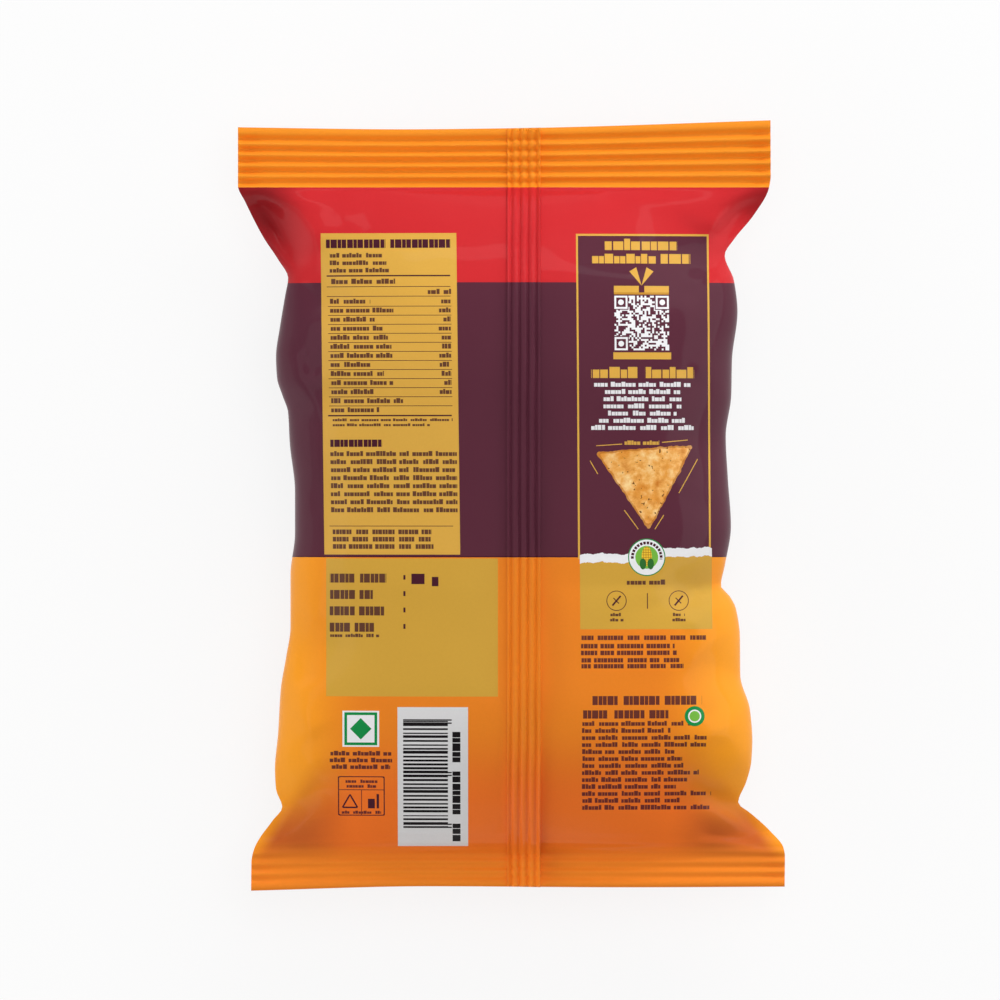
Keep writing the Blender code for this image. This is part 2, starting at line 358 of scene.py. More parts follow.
def finish(form, name, materials, subdivisions=0):
    for face in form.faces:
        face.smooth = True
    mesh = bpy.data.meshes.new(name)
    form.to_mesh(mesh)
    form.free()
    piece = bpy.data.objects.new(name, mesh)
    bpy.context.scene.collection.objects.link(piece)
    for material in materials:
        mesh.materials.append(material)
    if subdivisions:
        rounder = piece.modifiers.new("rounder", "SUBSURF")
        rounder.levels = rounder.render_levels = subdivisions
    return piece


def makeFilm(backRegions, frontInk):
    rows = sheetPoints()
    form = bmesh.new()
    addSheet(form, rows, backHeight)
    backFaces = set(form.faces)
    addSheet(form, rows, frontHeight)
    rim = [edge for edge in form.edges if edge.is_boundary]
    bmesh.ops.bridge_loops(form, edges=rim)
    for face in form.faces:
        middle = face.calc_center_median() / mm
        if face in backFaces:
            inside = [left < middle.x < right and bottom < middle.y < top
                      for ink, left, right, bottom, top in backRegions]
            face.material_index = 1 + inside.index(True)
    bmesh.ops.recalc_face_normals(form, faces=form.faces)
    return finish(form, "printed_film", [frontInk] + [region[0] for region in backRegions])


def finPoint(shareAcross, shareAlong):
    x = mix(fin["root"], fin["edge"], shareAcross)
    bottom, top = bottomEnd(x), topEnd(x)
    y = mix(bottom, top, shareAlong)
    left, right = leftSide(y), rightSide(y)
    across = 2 * (x - left) / (right - left) - 1
    groove = 0.5 - 0.5 * math.cos(shareAcross * fin["grooves"] * 2 * math.pi)
    lift = fin["lift"] * shareAcross ** 2 * (1 + 0.3 * math.sin(y / 9) + 0.2 * math.sin(y / 4.3 + 1))
    z = backHeight(x, y, across) + fin["gap"] + lift - fin["grooveDepth"] * groove
    return Vector((x, y, z)) * mm


def makeFin(ink):
    form = bmesh.new()
    made = bmesh.ops.create_grid(form, x_segments=fin["columns"], y_segments=fin["rows"], size=0.5)
    for vertex in made["verts"]:
        vertex.co = finPoint(vertex.co.x + 0.5, vertex.co.y + 0.5)
    bmesh.ops.recalc_face_normals(form, faces=form.faces)
    if form.faces[0].normal.z < 0:
        bmesh.ops.reverse_faces(form, faces=form.faces)
    bmesh.ops.solidify(form, geom=form.faces[:], thickness=-fin["thickness"] * mm)
    bmesh.ops.recalc_face_normals(form, faces=form.faces)
    return finish(form, "fin_seal", [ink])


inks = {
    "orange": tone(238, 133, 36),
    "sealOrange": tone(250, 149, 40),
    "red": tone(206, 43, 48),
    # painted light: the bottom seal is inked lighter to make up for the shade the body casts on it
    "litSealFoot": tone(254, 142, 42),
    # painted shade: a darker red for the hollows of the ears
    "shadedRed": tone(152, 31, 36),
    "purple": tone(90, 42, 57),
    "gold": tone(220, 169, 72),
    "lowGold": tone(210, 162, 62),
    "dark": tone(72, 28, 42),
    "white": tone(238, 238, 240),
    "grey": tone(222, 221, 221),
    "black": tone(24, 20, 22),
    "green": tone(20, 140, 70),
    "leaf": tone(120, 185, 70),
    "corn": tone(240, 200, 60),
}
bands = {"redTop": 92.0, "purpleTop": 64.3, "purpleBottom": -14.9, "lineWidth": 0.35}
# painted light and shade on the bands, places in mm: lighter orange towards the bag's sides, painted shade
# over the lower slope and the bottom wings, a painted highlight along the wings' slant, and painted shade
# in the red ears
paintedLightShade = {
    # painted light: a lighter orange towards the bag's sides
    "litSideOrange": tone(254, 162, 36),
    "sideFrom": 40.0,
    "sideTo": 66.0,
    # painted shade: a darker, redder orange over the lower slope
    "footShade": tone(245, 118, 39),
    "footFrom": -62.0,
    "footTo": -86.0,
    "footEnd": -108.0,
    "footFade": 12.0,
    "sideDelay": 13.0,  # the painted shade of the lower slope starts this much lower at the sides
    # painted shade: a darker orange over the bottom wings
    "wingShade": tone(198, 95, 38),
    "wingFrom": 44.0,
    "wingTo": 62.0,
    "highlightLean": 0.64,  # painted highlight: a bright rim along the slant of the bottom wings
    "highlightFrom": 5.5,
    "highlightTo": 12.0,
    "highlightRightShare": 0.95,
    # painted shade in the ears of the red band
    "earShadeFrom": 58.0,
    "earShadeTo": 72.0,
    "earShadeRightShare": 0.88,
}


class Sketch:
    # a node tree that is drawn on from the bottom layer up
    def __init__(self, tree):
        self.tree = tree

    def node(self, kind, **settings):
        made = self.tree.nodes.new(kind)
        for name, value in settings.items():
            setattr(made, name, value)
        return made

    def plug(self, value, socket):
        if isinstance(value, bpy.types.NodeSocket):
            self.tree.links.new(value, socket)
        else:
            socket.default_value = value

    def calc(self, operation, *values):
        made = self.node("ShaderNodeMath", operation=operation)
        for value, socket in zip(values, made.inputs):
            self.plug(value, socket)
        return made.outputs[0]

    def noise(self, place, scale, detail=2.0, roughness=0.5):
        made = self.node("ShaderNodeTexNoise")
        self.plug(place, made.inputs["Vector"])
        made.inputs["Scale"].default_value = scale
        made.inputs["Detail"].default_value = detail
        made.inputs["Roughness"].default_value = roughness
        return made.outputs[0]

    def random(self, x, y):
        made = self.node("ShaderNodeTexWhiteNoise", noise_dimensions="2D")
        self.tree.links.new(self.pair(x, y), made.inputs["Vector"])
        return made.outputs[0]

    def pair(self, x, y):
        made = self.node("ShaderNodeCombineXYZ")
        self.plug(x, made.inputs[0])
        self.plug(y, made.inputs[1])
        return made.outputs[0]

    def ramp(self, value, start, end):
        made = self.node("ShaderNodeMapRange", interpolation_type="SMOOTHSTEP")
        self.plug(value, made.inputs["Value"])
        made.inputs["From Min"].default_value = start
        made.inputs["From Max"].default_value = end
        return made.outputs[0]

    def span(self, value, low, high):
        return self.calc("COMPARE", value, (low + high) / 2, (high - low) / 2)

    def box(self, x, y, left, right, bottom, top):
        return self.calc("MULTIPLY", self.span(x, left, right), self.span(y, bottom, top))

    def distance(self, x, y, centreX, centreY):
        dx = self.calc("SUBTRACT", x, centreX)
        dy = self.calc("SUBTRACT", y, centreY)
        squares = self.calc("ADD", self.calc("MULTIPLY", dx, dx), self.calc("MULTIPLY", dy, dy))
        return self.calc("SQRT", squares)

    def disc(self, x, y, centreX, centreY, radius):
        return self.calc("LESS_THAN", self.distance(x, y, centreX, centreY), radius)

    def turned(self, x, y, startX, startY, directionX, directionY):
        # how far a point lies from a start along a direction of length 1
        alongX = self.calc("MULTIPLY", self.calc("SUBTRACT", x, startX), directionX)
        alongY = self.calc("MULTIPLY", self.calc("SUBTRACT", y, startY), directionY)
        return self.calc("ADD", alongX, alongY)

    def stroke(self, x, y, startX, startY, endX, endY, width):
        length = math.hypot(endX - startX, endY - startY)
        runX, runY = (endX - startX) / length, (endY - startY) / length
        along = self.span(self.turned(x, y, startX, startY, runX, runY), 0.0, length)
        beside = self.turned(x, y, startX, startY, -runY, runX)
        return self.calc("MULTIPLY", along, self.span(beside, -width / 2, width / 2))

    def ring(self, x, y, centreX, centreY, radius, width):
        return self.calc("COMPARE", self.distance(x, y, centreX, centreY), radius, width / 2)

    def most(self, masks):
        # each mask joins the last as soon as it is drawn, so that few wait at a time
        result = 0.0
        for mask in masks:
            result = self.calc("MAXIMUM", result, mask)
        return result

    def paint(self, under, colour, mask):
        made = self.node("ShaderNodeMix", data_type="RGBA")
        self.plug(mask, made.inputs[0])
        self.plug(under, made.inputs[6])
        self.plug(colour, made.inputs[7])
        return made.outputs[2]


lineSockets = ["X", "Y", "Left", "Right", "Top", "Pitch", "Count", "Height", "Ragged", "Align",
               "Letter", "Capital", "Gaps", "Seed", "Ink"]
cellsPerRun = 7.0  # one cell of each run is left empty, where a word ends


def makeLinesGroup():
    # rows of small blocks, broken into word-like runs, in place of printed lines
    if "blockLines" in bpy.data.node_groups:
        return bpy.data.node_groups["blockLines"]
    group = bpy.data.node_groups.new("blockLines", "ShaderNodeTree")
    for name in lineSockets:
        group.interface.new_socket(name, in_out="INPUT", socket_type="NodeSocketFloat")
    group.interface.new_socket("Mask", in_out="OUTPUT", socket_type="NodeSocketFloat")
    pen = Sketch(group)
    calc = pen.calc
    given = pen.node("NodeGroupInput").outputs
    value = {name: given[i] for i, name in enumerate(lineSockets)}
    dropped = calc("DIVIDE", calc("SUBTRACT", value["Top"], value["Y"]), value["Pitch"])
    line = calc("FLOOR", dropped)
    part = calc("MULTIPLY", calc("FRACT", dropped), value["Pitch"])
    lastLine = calc("SUBTRACT", value["Count"], 0.5)
    started = calc("GREATER_THAN", line, -0.5)
    inBlock = calc("MULTIPLY", started, calc("LESS_THAN", line, lastLine))
    lineSeed = calc("ADD", line, value["Seed"])
    # ragged lines are short by a random length, shared out as they are aligned
    short = calc("MULTIPLY", pen.random(lineSeed, 3.7), value["Ragged"])
    left = calc("ADD", value["Left"], calc("MULTIPLY", short, value["Align"]))
    atRight = calc("SUBTRACT", short, calc("MULTIPLY", short, value["Align"]))
    right = calc("SUBTRACT", value["Right"], atRight)
    pastLeft = calc("GREATER_THAN", value["X"], left)
    inRow = calc("MULTIPLY", pastLeft, calc("LESS_THAN", value["X"], right))
    cellPlace = calc("DIVIDE", calc("SUBTRACT", value["X"], left), value["Letter"])
    # blocks differ a little in width
    swing = calc("SINE", calc("ADD", calc("MULTIPLY", cellPlace, 2.3), lineSeed))
    cellPlace = calc("ADD", cellPlace, calc("MULTIPLY", swing, 0.16))
    cell = calc("FLOOR", cellPlace)
    inCell = calc("COMPARE", calc("FRACT", cellPlace), 0.45, 0.44)
    run = calc("FLOOR", calc("DIVIDE", cell, cellsPerRun))
    place = calc("SUBTRACT", cell, calc("MULTIPLY", run, cellsPerRun))
    end = calc("ADD", calc("FLOOR", calc("MULTIPLY", pen.random(run, lineSeed), 4.0)), 3.0)
    gap = calc("MULTIPLY", value["Gaps"], calc("COMPARE", place, end, 0.5))
    word = calc("SUBTRACT", 1.0, gap)
    # some blocks are taller, as capitals are
    height = pen.random(cell, calc("ADD", lineSeed, 40.0))
    tall = calc("GREATER_THAN", height, value["Capital"])
    drop = calc("MULTIPLY", calc("SUBTRACT", 1.0, tall), calc("MULTIPLY", value["Height"], 0.24))
    belowTop = calc("GREATER_THAN", part, drop)
    inHeight = calc("MULTIPLY", belowTop, calc("LESS_THAN", part, value["Height"]))
    mask = inBlock
    for other in (inRow, inCell, word, inHeight, value["Ink"]):
        mask = calc("MULTIPLY", mask, other)
    pen.tree.links.new(mask, pen.node("NodeGroupOutput").inputs[0])
    return group


def blockLines(pen, group, x, y, left, right, top, pitch, count, height, ragged=0.0, align=0.0,
               letter=0.95, capital=0.7, gaps=1.0, seed=0.0, ink=0.9):
    made = pen.node("ShaderNodeGroup", node_tree=group)
    values = [x, y, left, right, top, pitch, count, height, ragged, align,
              letter, capital, gaps, seed, ink]
    for socket, value in zip(made.inputs, values):
        pen.plug(value, socket)
    return made.outputs[0]


# the bands' print with painted light and shade: lighter orange at the sides and on the bottom seal, darker
# over the lower slope, the bottom wings and the ears, and a painted highlight along the wings
def bandsWithPaintedLight(pen, x, y):
    calc, paint, ramp = pen.calc, pen.paint, pen.ramp
    reach = calc("ABSOLUTE", x)
    mirrored = calc("MULTIPLY", x, -1.0)
    toSide = ramp(reach, paintedLightShade["sideFrom"], paintedLightShade["sideTo"])
    # painted light: the orange turns lighter towards the sides, above the lower slope
    side = calc("MULTIPLY", toSide, ramp(y, paintedLightShade["footTo"] - 12, paintedLightShade["footTo"] + 4))
    colour = paint(inks["orange"], paintedLightShade["litSideOrange"], side)
    # painted shade: the lower slope's darker tone starts lower down at the sides
    delayed = calc("ADD", y, calc("MULTIPLY", toSide, paintedLightShade["sideDelay"]))
    footTop = paintedLightShade["footEnd"] + paintedLightShade["footFade"]
    footShade = calc("MULTIPLY", ramp(delayed, paintedLightShade["footFrom"], paintedLightShade["footTo"]),
                ramp(y, paintedLightShade["footEnd"], footTop))
    # painted shade on the lower slope, darker still over the bottom wings
    footShadeAndHighlight = paint(paintedLightShade["footShade"], paintedLightShade["wingShade"], ramp(reach, paintedLightShade["wingFrom"], paintedLightShade["wingTo"]))
    # painted highlight: a bright rim in the lighter side orange follows the slant of the bottom wings
    outward = calc("MAXIMUM", mirrored, calc("MULTIPLY", x, paintedLightShade["highlightRightShare"]))
    slant = calc("ADD", outward, calc("MULTIPLY", y, paintedLightShade["highlightLean"]))
    rim = ramp(slant, paintedLightShade["highlightFrom"], paintedLightShade["highlightTo"])
    footShadeAndHighlight = paint(footShadeAndHighlight, paintedLightShade["litSideOrange"], rim)
    colour = paint(colour, footShadeAndHighlight, footShade)
    # painted light: a lighter orange on the bottom seal
    colour = paint(colour, inks["litSealFoot"], ramp(y, footTop, paintedLightShade["footEnd"]))
    colour = paint(colour, inks["sealOrange"], calc("GREATER_THAN", y, bands["redTop"]))
    # painted shade: the red darkens towards the ears
    corner = calc("MAXIMUM", mirrored, calc("MULTIPLY", x, paintedLightShade["earShadeRightShare"]))
    red = paint(inks["red"], inks["shadedRed"], ramp(corner, paintedLightShade["earShadeFrom"], paintedLightShade["earShadeTo"]))
    colour = paint(colour, red, pen.span(y, bands["purpleTop"], bands["redTop"]))
    colour = paint(colour, inks["purple"], pen.span(y, bands["purpleBottom"], bands["purpleTop"]))
    edge = pen.span(y, bands["purpleBottom"], bands["purpleBottom"] + bands["lineWidth"])
    return paint(colour, inks["dark"], edge)


def heading(left, right, top, height, letter, **more):
    # one unbroken line of tall blocks
    return dict(left=left, right=right, top=top, pitch=4, count=1, height=height, letter=letter,
                gaps=0, ink=1, **more)


def paintBlocks(pen, colour, x, y, ink, blocks):
    lines = makeLinesGroup()
    masks = (blockLines(pen, lines, x, y, **block) for block in blocks)
    return pen.paint(colour, ink, pen.most(masks))


# the left panel leans a little, as the film under it does
leftPanel = {"left": -55.1, "right": -15.9, "bottom": -14.1, "top": 78.6, "lean": 0.0125}
tableRules = [(66.25, 0.2), (63.1, 0.09), (60.3, 0.09), (25.9, 0.2), (-5.9, 0.09)]  # y, half width
tablePitch = 2.61


def paintLeftPanel(pen, colour, x, y):
    lean = pen.calc("MULTIPLY", pen.calc("SUBTRACT", y, leftPanel["top"]), leftPanel["lean"])
    x = pen.calc("ADD", x, lean)
    panel = pen.box(x, y, leftPanel["left"], leftPanel["right"], leftPanel["bottom"], leftPanel["top"])
    colour = pen.paint(colour, inks["gold"], panel)
    rules = pen.most(pen.box(x, y, -53.5, -17.8, middle - half, middle + half)
                     for middle, half in tableRules)
    row = pen.calc("FRACT", pen.calc("DIVIDE", pen.calc("SUBTRACT", 57.5, y), tablePitch))
    inTable = pen.box(x, y, -53.2, -17.6, 28.5, 57.6)
    rowRules = pen.calc("MULTIPLY", pen.calc("LESS_THAN", row, 0.065), inTable)
    colour = pen.paint(colour, inks["dark"], pen.calc("MAXIMUM", rules, rowRules))
    blocks = [
        heading(-53.6, -36.4, 76.8, 2.5, 1.55, capital=-1),
        heading(-35.0, -17.6, 76.8, 2.5, 1.58, capital=-1),
        dict(left=-52.6, right=-34.0, top=72.9, pitch=2.17, count=3, height=1.35, ragged=4, seed=5),
        dict(left=-52.2, right=-33.7, top=65.4, pitch=3, count=1, height=1.5, letter=1.2, seed=9),
        dict(left=-24.4, right=-17.6, top=62.4, pitch=3, count=1, height=1.5, letter=1.2, seed=12),
        # the table's names and amounts
        dict(left=-52.6, right=-30.5, top=59.65, pitch=tablePitch, count=13, height=1.45,
             ragged=13, seed=14),
        dict(left=-21.3, right=-17.8, top=59.65, pitch=tablePitch, count=11, height=1.45,
             ragged=1.5, align=1.0, seed=31),
        dict(left=-52.2, right=-17.5, top=25.1, pitch=1.45, count=2, height=0.8, ragged=9,
             letter=0.7, seed=44),
        heading(-53.0, -38.0, 19.0, 2.1, 1.36, capital=-1),
        dict(left=-53.0, right=-16.5, top=15.7, pitch=2.31, count=8, height=1.45, seed=52),
        dict(left=-52.6, right=-15.8, top=-6.9, pitch=2.11, count=3, height=1.35, ragged=12,
             capital=-1, seed=70),
    ]
    return paintBlocks(pen, colour, x, y, inks["dark"], blocks)


datePitch = 4.72


def paintDateGround(pen, colour, x, y):
    return pen.paint(colour, inks["lowGold"], pen.box(x, y, -53.4, -3.9, -54.95, -15.2))


def paintDateLines(pen, colour, x, y, lines):
    def masks():
        yield blockLines(pen, lines, x, y, -52.4, -35.5, -19.6, datePitch, 4, 2.6, ragged=5,
                         letter=1.45, capital=-1, seed=80)
        yield blockLines(pen, lines, x, y, -52.4, -38.0, -36.9, 3, 1, 1.0, letter=0.75, seed=86)
        colons = pen.calc("FRACT", pen.calc("DIVIDE", pen.calc("SUBTRACT", -19.9, y), datePitch))
        yield pen.calc("MULTIPLY", pen.calc("LESS_THAN", colons, 0.3),
                       pen.box(x, y, -31.1, -30.5, -36.8, -20))
        yield pen.box(x, y, -28.8, -25.0, -22.6, -19.6)
        yield pen.box(x, y, -22.9, -21.0, -23.2, -20.5)
    return pen.paint(colour, inks["dark"], pen.most(masks()))


crispSize = 8.6  # from its middle to a side
crispCorner = 2.2
crispSides = (94.5, 214, 332)  # the way each side faces, in degrees


def paintCrisp(pen, colour, x, y, place, centreX=38.3, centreY=8.4, grown=1.0, turn=0.0):
    # a rounded triangle of baked corn, point down, with toasted patches and herb specks
    size = crispSize * grown
    corner = crispCorner * grown
    sides = []
    for facing in crispSides:
        angle = math.radians(facing + turn)
        sides.append(pen.turned(x, y, centreX, centreY, math.cos(angle), math.sin(angle)))
    reach = pen.calc("SMOOTH_MAX", sides[0], sides[1], corner)
    reach = pen.calc("SMOOTH_MAX", reach, sides[2], corner)
    uneven = pen.calc("MULTIPLY", pen.noise(place, 420.0 / grown), 1.1 * grown)
    mask = pen.calc("LESS_THAN", pen.calc("ADD", reach, uneven), size)
    ramp = pen.node("ShaderNodeValToRGB")
    pen.plug(pen.noise(place, 260.0 / grown ** 0.5, detail=5.0, roughness=0.65), ramp.inputs[0])
    stops = ramp.color_ramp.elements
    stops[0].position, stops[0].color = 0.3, tone(205, 122, 42)
    stops[1].position, stops[1].color = 0.66, tone(250, 214, 150)
    middle = stops.new(0.48)
    middle.color = tone(236, 170, 86)
    crisp = ramp.outputs[0]
    patches = pen.ramp(pen.noise(place, 150.0 / grown ** 0.5, detail=3.0), 0.5, 0.68)
    crisp = pen.paint(crisp, tone(224, 140, 38), pen.calc("MULTIPLY", patches, 0.6))
    specks = pen.calc("GREATER_THAN", pen.noise(place, 900.0 / grown ** 0.5, detail=1.0), 0.7)
    crisp = pen.paint(crisp, tone(120, 70, 30), specks)
    edge = pen.calc("GREATER_THAN", pen.calc("ADD", reach, uneven), size - 0.5 * grown)
    crisp = pen.paint(crisp, tone(176, 98, 30), pen.calc("MULTIPLY", edge, 0.6))
    return pen.paint(colour, crisp, mask)


def paintGift(pen, colour, x, y):
    # a bow and a box lid over the square code
    rise = pen.calc("SUBTRACT", y, 63.4)
    side = pen.calc("ABSOLUTE", pen.calc("SUBTRACT", x, 37.4))
    bow = pen.calc("MULTIPLY", pen.calc("LESS_THAN", side, pen.calc("MULTIPLY", rise, 0.85)),
                   pen.calc("GREATER_THAN", side, pen.calc("MULTIPLY", rise, 0.28)))
    reach = pen.calc("ADD", pen.calc("MULTIPLY", side, 0.6), rise)
    bow = pen.calc("MULTIPLY", bow, pen.calc("LESS_THAN", reach, 6.2))
    lid = pen.box(x, y, 29.4, 45.3, 61.3, 63.3)
    gap = pen.span(x, 36.6, 38.2)
    lid = pen.calc("MULTIPLY", lid, pen.calc("SUBTRACT", 1.0, gap))
    colour = pen.paint(colour, inks["gold"], pen.calc("MAXIMUM", bow, lid))
    colour = pen.paint(colour, inks["gold"], pen.box(x, y, 29.1, 45.8, 42.1, 44.1))
    return pen.paint(colour, tone(196, 140, 50), pen.box(x, y, 29.4, 45.3, 60.8, 61.4))


squareCode = {"left": 29.5, "bottom": 44.7, "cell": 0.543, "cells": 29, "finderCells": 7}


def paintSquareCode(pen, colour, x, y):
    # random dots with three square finders: it encodes nothing
    calc = pen.calc
    left, bottom, cell = squareCode["left"], squareCode["bottom"], squareCode["cell"]
    column = calc("FLOOR", calc("DIVIDE", calc("SUBTRACT", x, left), cell))
    row = calc("FLOOR", calc("DIVIDE", calc("SUBTRACT", y, bottom), cell))
    size = cell * squareCode["cells"]
    dots = calc("GREATER_THAN", pen.random(column, row), 0.48)
    dots = calc("MULTIPLY", dots, pen.box(x, y, left, left + size, bottom, bottom + size))
    finder = cell * squareCode["finderCells"]
    farX = left + size - finder
    farY = bottom + size - finder
    for cornerX, cornerY in ((left, farY), (farX, farY), (left, bottom)):
        clear = pen.box(x, y, cornerX - cell / 2, cornerX + finder + cell / 2,
                        cornerY - cell / 2, cornerY + finder + cell / 2)
        dots = calc("MULTIPLY", dots, calc("SUBTRACT", 1.0, clear))
        middleX = cornerX + finder / 2
        middleY = cornerY + finder / 2
        reach = calc("MAXIMUM", calc("ABSOLUTE", calc("SUBTRACT", x, middleX)),
                     calc("ABSOLUTE", calc("SUBTRACT", y, middleY)))
        frameMask = calc("COMPARE", reach, finder / 2 - cell / 2, cell / 2)
        dots = calc("MAXIMUM", dots, frameMask)
        dots = calc("MAXIMUM", dots, pen.disc(x, y, middleX, middleY, cell * 1.5))
    return pen.paint(colour, inks["white"], dots)


def paintTornEdge(pen, colour, x, y, place):
    # a torn paper strip between the panel's two grounds
    made = pen.node("ShaderNodeMapping")
    pen.plug(place, made.inputs["Vector"])
    made.inputs["Scale"].default_value = (1.0, 0.0, 0.0)
    along = pen.noise(made.outputs[0], 330.0, detail=4.0)
    rough = pen.calc("MULTIPLY", pen.calc("SUBTRACT", along, 0.5), 2.6)
    step = pen.calc("MULTIPLY", pen.calc("GREATER_THAN", x, 38.0), 1.7)  # higher right of the badge
    height = pen.calc("SUBTRACT", pen.calc("SUBTRACT", y, rough), step)
    inPanel = pen.span(x, 19.1, 57.3)
    strip = pen.calc("MULTIPLY", inPanel, pen.span(height, -16.4, -13.9))
    low = pen.calc("MULTIPLY", inPanel, pen.calc("LESS_THAN", height, -15.8))
    low = pen.calc("MULTIPLY", low, pen.span(y, -35.6, -10))
    colour = pen.paint(colour, inks["lowGold"], low)
    return pen.paint(colour, inks["white"], strip)


rightPanel = {
    "left": 18.6,
    "right": 57.0,
    "bottom": -15.4,
    "top": 78.4,
    "sideFrame": 0.55,
    "topFrame": 0.6,
    "lean": 0.006,
}


def leanRight(pen, x, y):
    # the right panel leans a little too
    lean = pen.calc("MULTIPLY", pen.calc("SUBTRACT", y, rightPanel["top"]), rightPanel["lean"])
    return pen.calc("ADD", x, lean)


def paintRightGround(pen, colour, x, y):
    left, right = rightPanel["left"], rightPanel["right"]
    bottom, top = rightPanel["bottom"], rightPanel["top"]
    colour = pen.paint(colour, inks["gold"], pen.box(x, y, left, right, bottom, top))
    inner = pen.box(x, y, left + rightPanel["sideFrame"], right - rightPanel["sideFrame"],
                    bottom, top - rightPanel["topFrame"])
    return pen.paint(colour, inks["purple"], inner)


def paintUpperRight(pen, x, y, place):
    x = leanRight(pen, x, y)
    colour = paintRightGround(pen, bandsWithPaintedLight(pen, x, y), x, y)
    headings = [
        heading(26.9, 47.9, 77.0, 3.3, 2.62, seed=101),
        heading(23.0, 41.6, 72.6, 2.8, 2.07, seed=104),
        heading(43.0, 51.6, 72.6, 2.8, 2.87, capital=-1),
        heading(22.7, 36.3, 39.9, 3.2, 2.72, seed=105),
        heading(38.2, 52.4, 39.9, 3.2, 2.37, seed=106),
    ]
    colour = paintBlocks(pen, colour, x, y, inks["gold"], headings)
    colour = paintGift(pen, colour, x, y)
    colour = paintSquareCode(pen, colour, x, y)
    story = dict(left=21.8, right=53.0, top=35.6, pitch=2.07, count=7, height=1.4, ragged=15,
                 align=0.5, letter=1.0, seed=110)
    return paintBlocks(pen, colour, x, y, inks["white"], [story])


# gold strokes round the crisp: start x and y, end x and y
crispStrokes = [
    (24, 17.2, 31.5, 17.7),
    (43, 18.2, 50.5, 18.9),
    (22.2, 12.9, 24.4, 9.1),
    (32, -1.3, 36, -6.8),
    (53.3, 13.4, 47.8, 3.6),
    (43.4, -2.7, 40.8, -6.8),
]
strokeWidth = 0.24


def paintMiddleRight(pen, x, y, place):
    x = leanRight(pen, x, y)
    colour = paintRightGround(pen, bandsWithPaintedLight(pen, x, y), x, y)
    colour = paintTornEdge(pen, colour, x, y, place)
    caption = dict(left=32.2, right=42.2, top=18.7, pitch=3, count=1, height=1.2, letter=0.9, seed=107)
    colour = paintBlocks(pen, colour, x, y, inks["gold"], [caption])
    strokes = pen.most(pen.stroke(x, y, *stroke, strokeWidth) for stroke in crispStrokes)
    colour = pen.paint(colour, inks["gold"], strokes)
    colour = paintCrisp(pen, colour, x, y, place)
    return paintBadge(pen, colour, x, y, makeLinesGroup())


def paintBadge(pen, colour, x, y, lines):
    centreX, centreY = 38.4, -14.9
    colour = pen.paint(colour, inks["green"], pen.disc(x, y, centreX, centreY, 5.4))
    colour = pen.paint(colour, inks["white"], pen.disc(x, y, centreX, centreY, 5.1))
    colour = pen.paint(colour, inks["leaf"], pen.disc(x, y, centreX, centreY, 3.3))
    # a corn cob: rows of kernels between two husk leaves, with a ring of blocks round it
    kernelX = pen.calc("FRACT", pen.calc("MULTIPLY", pen.calc("SUBTRACT", x, centreX - 0.3), 1.5))
    kernelY = pen.calc("FRACT", pen.calc("MULTIPLY", y, 1.4))
    seams = pen.calc("MAXIMUM", pen.calc("LESS_THAN", kernelX, 0.22), pen.calc("LESS_THAN", kernelY, 0.22))
    kernels = pen.paint(inks["corn"], tone(176, 120, 30), seams)
    cob = pen.disc(pen.calc("MULTIPLY", x, 1.9), y, centreX * 1.9, centreY + 0.3, 2.8)
    colour = pen.paint(colour, kernels, cob)
    spread = pen.calc("ABSOLUTE", pen.calc("SUBTRACT", x, centreX))
    husk = pen.disc(pen.calc("MULTIPLY", spread, 1.7), y, 1.9, centreY - 1.9, 1.6)
    colour = pen.paint(colour, tone(50, 110, 50), husk)
    rise = pen.calc("SUBTRACT", y, centreY)
    angle = pen.calc("ARCTAN2", pen.calc("SUBTRACT", x, centreX), rise)
    blocks = pen.calc("LESS_THAN", pen.calc("FRACT", pen.calc("MULTIPLY", angle, 4.2)), 0.72)
    blocks = pen.calc("MULTIPLY", blocks, pen.calc("GREATER_THAN", rise, -0.6))
    blocks = pen.calc("MULTIPLY", blocks, pen.ring(x, y, centreX, centreY, 4.15, 0.8))
    colour = pen.paint(colour, inks["dark"], blocks)

    def signs():
        yield blockLines(pen, lines, x, y, 32.6, 43.8, -21.3, 3, 1, 1.5, letter=1.1, seed=120)
        yield pen.box(x, y, 38.4, 38.65, -29.7, -25.2)
        for middle, seed in ((29.6, 123), (47.6, 126)):
            yield pen.ring(x, y, middle, -27.4, 2.8, 0.22)
            yield pen.stroke(x, y, middle - 1.2, -28.8, middle + 1.2, -26.0, 0.5)
            yield pen.stroke(x, y, middle - 0.9, -26.6, middle + 0.7, -28.2, 0.3)
            yield blockLines(pen, lines, x, y, middle - 2.1, middle + 2.1, -30.9, 1.5, 2, 0.95, ragged=0.8,
                             align=0.5, letter=0.8, seed=seed)
    return pen.paint(colour, inks["dark"], pen.most(signs()))


